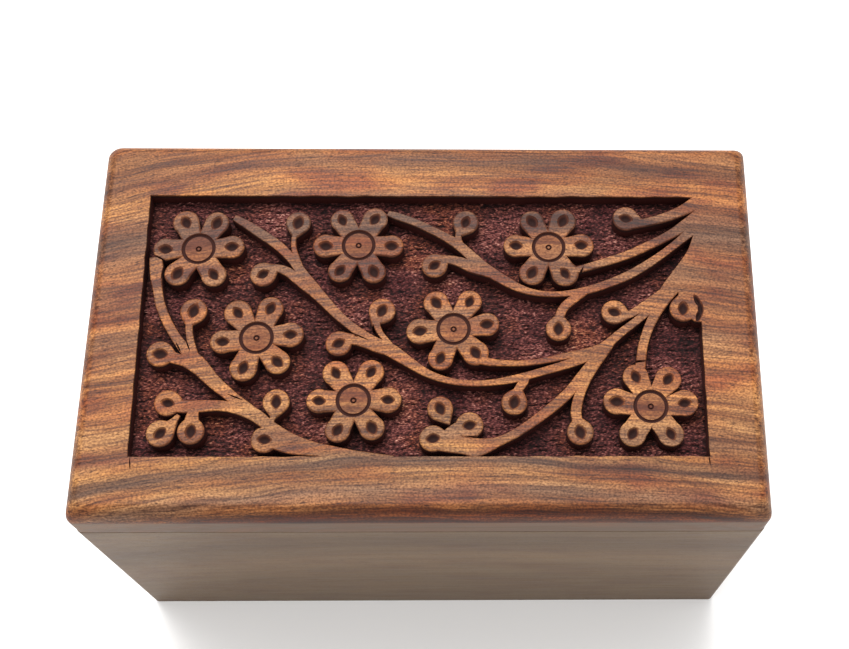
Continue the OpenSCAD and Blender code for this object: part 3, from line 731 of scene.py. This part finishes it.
def greyed_upright_edge(wood, top, spread):
    """Below the bead, the board's upright faces are coloured as pale and grey as the walls."""
    tree = wood.node_tree
    base = tree.nodes["Principled BSDF"].inputs["Base Color"]
    waxed = base.links[0].from_socket
    metres = add(tree, "TexCoord", {}, out="Object")
    place = add(tree, "VectorMath", {0: metres, 1: (1000, 1000, 1000)}, operation="MULTIPLY")
    z = add(tree, "SeparateXYZ", {0: place}, out="Z")
    facing = add(tree, "TexCoord", {}, out="Normal")
    facing_up = add(tree, "SeparateXYZ", {0: facing}, out="Z")
    lean = add(tree, "Math", {0: facing_up}, operation="ABSOLUTE")
    upright = add(tree, "MapRange", {0: lean, 1: 0.85, 2: 0.8})
    below = add(tree, "MapRange", {0: z, 1: top, 2: top - spread})
    greyed = add(tree, "Math", {0: upright, 1: below}, operation="MULTIPLY")
    paled = add(tree, "Mix", {0: 1.0, 6: waxed, 7: linear("#b6b0a2")},
                out=2, data_type="RGBA", blend_type="MULTIPLY")
    paled = add(tree, "Mix", {0: 0.45, 6: paled, 7: linear("#7b624b")}, out=2, data_type="RGBA")
    tree.links.new(add(tree, "Mix", {0: greyed, 6: waxed, 7: paled}, out=2, data_type="RGBA"), base)


stain_and_painted_shade(lid_wood, ground_z, ground_depth)
greyed_upright_edge(lid_wood, (lid_high.z - bead_width * bead_drop) / MM + 0.5, 0.4)
lid.data.materials.clear()
lid.data.materials.append(lid_wood)
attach(lid, "lid")
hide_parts("lid_board")

# ---------------------------------------------------------------- Wall boards
# Four plain boards 8 mm thick, glued in corner rabbets, from a browner and quieter part of the tree.
# Their edges are only eased with fine paper.
wall_bands = [
    (-60, "#66523b"), (-52, "#725c44"), (-46, "#604d39"), (-40, "#725d45"), (-34, "#63503a"),
    (-26, "#735e45"), (-18, "#66523c"), (-8, "#705a43"), (2, "#614e3a"), (14, "#725c44"),
    (26, "#65513b"), (40, "#6e5842"),
]
wall_wood = rosewood("waxed_rosewood_walls", wall_bands, 10, 4, 4.0, dashes=0.35, figure=0.3)


def eased(node, width):
    """A copy of a plain piece with its edges eased."""
    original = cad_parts[node]
    piece = original.copy()
    piece.data = original.data.copy()
    piece.name = f"{node}_eased"
    bpy.context.collection.objects.link(piece)
    only(piece)
    bpy.ops.object.mode_set(mode="EDIT")
    bpy.ops.mesh.select_all(action="SELECT")
    bpy.ops.mesh.remove_doubles(threshold=0.002 * MM)
    bpy.ops.mesh.dissolve_limited(angle_limit=math.radians(1))
    bpy.ops.mesh.normals_make_consistent(inside=False)
    bpy.ops.object.mode_set(mode="OBJECT")
    bpy.ops.object.shade_smooth_by_angle(angle=math.radians(35))
    easing = piece.modifiers.new("easing", "BEVEL")
    easing.width = width * MM
    easing.segments = 2
    easing.limit_method = "ANGLE"
    easing.angle_limit = math.radians(40)
    easing.harden_normals = True
    bpy.ops.object.modifier_apply(modifier=easing.name)
    piece.data.materials.clear()
    return piece


def finished(piece, material, body, node):
    """Gives a piece its finish and its body, in place of the plain one."""
    piece.data.materials.clear()
    piece.data.materials.append(material)
    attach(piece, body)
    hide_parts(node)


for node in ("front_board", "back_board", "left_end_board", "right_end_board"):
    finished(eased(node, 0.15), wall_wood, "case", node)

# ---------------------------------------------------------------- Base board and its screws
# A plain board of pale hardwood let into the walls from below, sanded and oiled, and held by four
# countersunk brass screws. Brass turned and left bare goes a dull gold with faint turning marks.
base_bands = [
    (-40, "#a57e58"), (-30, "#b58b62"), (-22, "#9f7852"), (-12, "#b78d64"), (-2, "#a9825b"), (8, "#b98f66"),
    (18, "#a27a54"), (28, "#b48a61"), (40, "#a87f59"),
]
base_wood = rosewood("oiled_hardwood_base", base_bands, -20, 3, 8.0, dashes=0.35)
finished(eased("base_board", 0.2), base_wood, "case", "base_board")


def bare_brass(name):
    """Bare brass, dulled by handling, with marks 0.1 mm apart drawn as coarse as 0.2 mm."""
    brass = bpy.data.materials.new(name)
    brass.use_nodes = True
    tree = brass.node_tree
    shader = tree.nodes["Principled BSDF"]
    metres = add(tree, "TexCoord", {}, out="Object")
    place = add(tree, "VectorMath", {0: metres, 1: (1000, 1000, 1000)}, operation="MULTIPLY")
    tarnish = drawn(tree, place, (0.25, 0.25, 0.25), 3.0, 31.0)
    marks = drawn(tree, place, (0.3, 5.0, 5.0), 2.0, 33.0)
    colour = add(tree, "ValToRGB", {0: tarnish},
                 stops=[(0.3, "#8d6a33"), (0.7, "#d0a65c"), (0.5, "#bf9349")])
    tree.links.new(colour, shader.inputs["Base Color"])
    rough = add(tree, "MapRange", {0: tarnish, 1: 0.3, 2: 0.7, 3: 0.42, 4: 0.26})
    tree.links.new(rough, shader.inputs["Roughness"])
    bump = add(tree, "Bump", {"Height": marks, "Strength": 0.3, "Distance": 0.02 * MM})
    tree.links.new(bump, shader.inputs["Normal"])
    shader.inputs["Metallic"].default_value = 1.0
    return brass


brass = bare_brass("bare_brass")
finished(eased("base_screws", 0.06), brass, "case", "base_screws")

# ---------------------------------------------------------------- Velvet lining
# Thin card covered in dark red velvet, glued to the walls and under the lid. The cloth is turned over the
# edges of the card, so they are round, and its short pile lies this way and that, which its colour shows as
# painted sheen.
card_edge = 0.45


def velvet_card(node):
    """A card with round edges and a face that is a little full between them."""
    low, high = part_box(node)
    piece = block(f"{node}_velvet", low, high)
    bpy.ops.object.mode_set(mode="EDIT")
    bpy.ops.mesh.select_all(action="SELECT")
    bpy.ops.mesh.bevel(offset=card_edge * MM, segments=4, affect="EDGES")
    bpy.ops.mesh.select_all(action="DESELECT")
    faces = bmesh.from_edit_mesh(piece.data)
    for face in faces.faces:
        face.select_set(face.calc_area() > 200 * MM * MM)
    bmesh.update_edit_mesh(piece.data)
    bpy.ops.mesh.inset(thickness=0.8 * MM, use_individual=True)
    bpy.ops.mesh.subdivide(number_cuts=30)
    bpy.ops.object.mode_set(mode="OBJECT")
    thin = min(range(3), key=lambda axis: (high - low)[axis])
    middle = (low + high) / 2
    for point in piece.data.vertices:
        side = 1 if point.co[thin] > middle[thin] else -1
        lump = noise.noise(point.co / (9 * MM)) + 0.5 * noise.noise(point.co / (3 * MM))
        if near(abs(point.co[thin] - middle[thin]), (high - low)[thin] / 2):
            point.co[thin] -= side * (0.06 + 0.05 * lump) * MM
    bpy.ops.object.shade_smooth_by_angle(angle=math.radians(60))
    return piece


def pile(name):
    """Cotton velvet with a short pile. Tufts 0.15 mm apart are drawn as coarse as 0.35 mm, and patches 10
    mm across, where the pile lies another way, are painted lighter and darker as a painted sheen."""
    cloth = bpy.data.materials.new(name)
    cloth.use_nodes = True
    tree = cloth.node_tree
    shader = tree.nodes["Principled BSDF"]
    metres = add(tree, "TexCoord", {}, out="Object")
    place = add(tree, "VectorMath", {0: metres, 1: (1000, 1000, 1000)}, operation="MULTIPLY")
    tufts = drawn(tree, place, (2.8, 2.8, 2.8), 2.0, 41.0)
    brushed_sheen = drawn(tree, place, (0.1, 0.1, 0.1), 2.0, 43.0)
    # The cloth's colour goes lighter and darker in patches 10 mm across: painted sheen where the pile lies
    # different ways.
    colour = add(tree, "ValToRGB", {0: brushed_sheen},
                 stops=[(0.35, "#4a0a14"), (0.65, "#7d1a26"), (0.5, "#65121d")])
    dots = add(tree, "ValToRGB", {0: tufts}, stops=[(0.35, "#8c8084"), (0.62, "#ffffff")])
    colour = add(tree, "Mix", {0: 1.0, 6: colour, 7: dots}, out=2, data_type="RGBA", blend_type="MULTIPLY")
    tree.links.new(colour, shader.inputs["Base Color"])
    bump = add(tree, "Bump", {"Height": tufts, "Strength": 0.6, "Distance": 0.1 * MM})
    tree.links.new(bump, shader.inputs["Normal"])
    shader.inputs["Roughness"].default_value = 0.95
    shader.inputs["Specular IOR Level"].default_value = 0.1
    shader.inputs["Sheen Weight"].default_value = 0.7
    shader.inputs["Sheen Roughness"].default_value = 0.4
    shader.inputs["Sheen Tint"].default_value = linear("#d8848c")
    return cloth


velvet = pile("cotton_velvet")
for node in ("front_lining", "back_lining", "left_lining", "right_lining"):
    finished(velvet_card(node), velvet, "case", node)
finished(velvet_card("lid_lining"), velvet, "lid", "lid_lining")

# ---------------------------------------------------------------- Floor pad
# The same velvet over thin wadding on card. The pad is full in the middle and pulls down to its edges,
# where the cloth is turned under.
pad_low, pad_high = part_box("floor_pad")
pad_size = pad_high - pad_low
pad_edge = 0.38
pad_fullest = 0.93
bpy.ops.mesh.primitive_grid_add(x_subdivisions=90, y_subdivisions=48, size=1)
floor_pad = bpy.context.object
floor_pad.name = "floor_pad_velvet"
for point in floor_pad.data.vertices:
    u = point.co.x * 2
    v = point.co.y * 2
    full = (1 - u ** 6) * (1 - v ** 6)
    crease = noise.noise(Vector((u * 5, v * 3, 0))) * 0.05 * full
    point.co.x = (pad_low.x + pad_high.x) / 2 + u * (pad_size.x / 2)
    point.co.y = (pad_low.y + pad_high.y) / 2 + v * (pad_size.y / 2)
    point.co.z = pad_low.z + pad_size.z * (pad_edge + (pad_fullest - pad_edge) * full ** 0.6 + crease)
bpy.ops.object.mode_set(mode="EDIT")
bpy.ops.mesh.select_all(action="SELECT")
bpy.ops.mesh.region_to_loop()
# The rim goes down in three steps, and the last two turn in under the pad.
for share, pull in ((0.45, 1.0), (0.3, 0.9985), (0.25, 0.994)):
    step = (0, 0, -share * pad_edge * pad_size.z)
    bpy.ops.mesh.extrude_edges_move(TRANSFORM_OT_translate={"value": step})
    bpy.ops.transform.resize(value=(pull, pull, 1), center_override=((pad_low + pad_high) / 2))
bpy.ops.mesh.edge_face_add()
bpy.ops.mesh.select_all(action="SELECT")
bpy.ops.mesh.normals_make_consistent(inside=False)
bpy.ops.object.mode_set(mode="OBJECT")
bpy.ops.object.shade_smooth_by_angle(angle=math.radians(60))
finished(floor_pad, velvet, "case", "floor_pad")

# ---------------------------------------------------------------- Hinges
# Two small butt hinges of stamped brass sheet rolled round a drawn pin, let into the back edges of the
# walls and the lid and held by countersunk brass screws. Stamping leaves their edges a little round.
for side in ("left", "right"):
    finished(eased(f"{side}_hinge_case_leaf", 0.08), brass, "case", f"{side}_hinge_case_leaf")
    finished(eased(f"{side}_hinge_lid_leaf", 0.08), brass, "lid", f"{side}_hinge_lid_leaf")
    finished(eased(f"{side}_hinge_pin", 0.12), brass, "case", f"{side}_hinge_pin")
finished(eased("case_leaf_screws", 0.04), brass, "case", "case_leaf_screws")
finished(eased("lid_leaf_screws", 0.04), brass, "lid", "lid_leaf_screws")

# ---------------------------------------------------------------- Floor and light
# A plain white table top under a big soft light from above, behind and a little to the left.
bpy.ops.mesh.primitive_plane_add(size=6)
table_top = bpy.context.object
table_top.name = "table_top"
paper = bpy.data.materials.new("white_paper")
paper.use_nodes = True
paper.node_tree.nodes["Principled BSDF"].inputs["Base Color"].default_value = linear("#f8f7f6")
paper.node_tree.nodes["Principled BSDF"].inputs["Roughness"].default_value = 0.9
paper.node_tree.nodes["Principled BSDF"].inputs["Specular IOR Level"].default_value = 0.1
# The table is lit a little from below, as tables for small goods are.
paper.node_tree.nodes["Principled BSDF"].inputs["Emission Color"].default_value = linear("#ffffff")
paper.node_tree.nodes["Principled BSDF"].inputs["Emission Strength"].default_value = 0.1
table_top.data.materials.append(paper)

key_place = Vector((-0.25, 0.95, 1.85))
bpy.ops.object.light_add(type="AREA", location=key_place)
key_light = bpy.context.object
key_light.name = "key_light"
key_light.data.shape = "SQUARE"
key_light.data.size = 1.4
key_light.data.energy = 58
key_light.rotation_euler = (Vector((0, 0, lid_high.z)) - key_place).to_track_quat("-Z", "Y").to_euler()
sky = bpy.data.worlds.new("studio")
sky.use_nodes = True
sky.node_tree.nodes["Background"].inputs["Color"].default_value = (1, 1, 1, 1)
sky.node_tree.nodes["Background"].inputs["Strength"].default_value = 0.9
bpy.context.scene.world = sky
bpy.context.scene.view_settings.view_transform = "Standard"
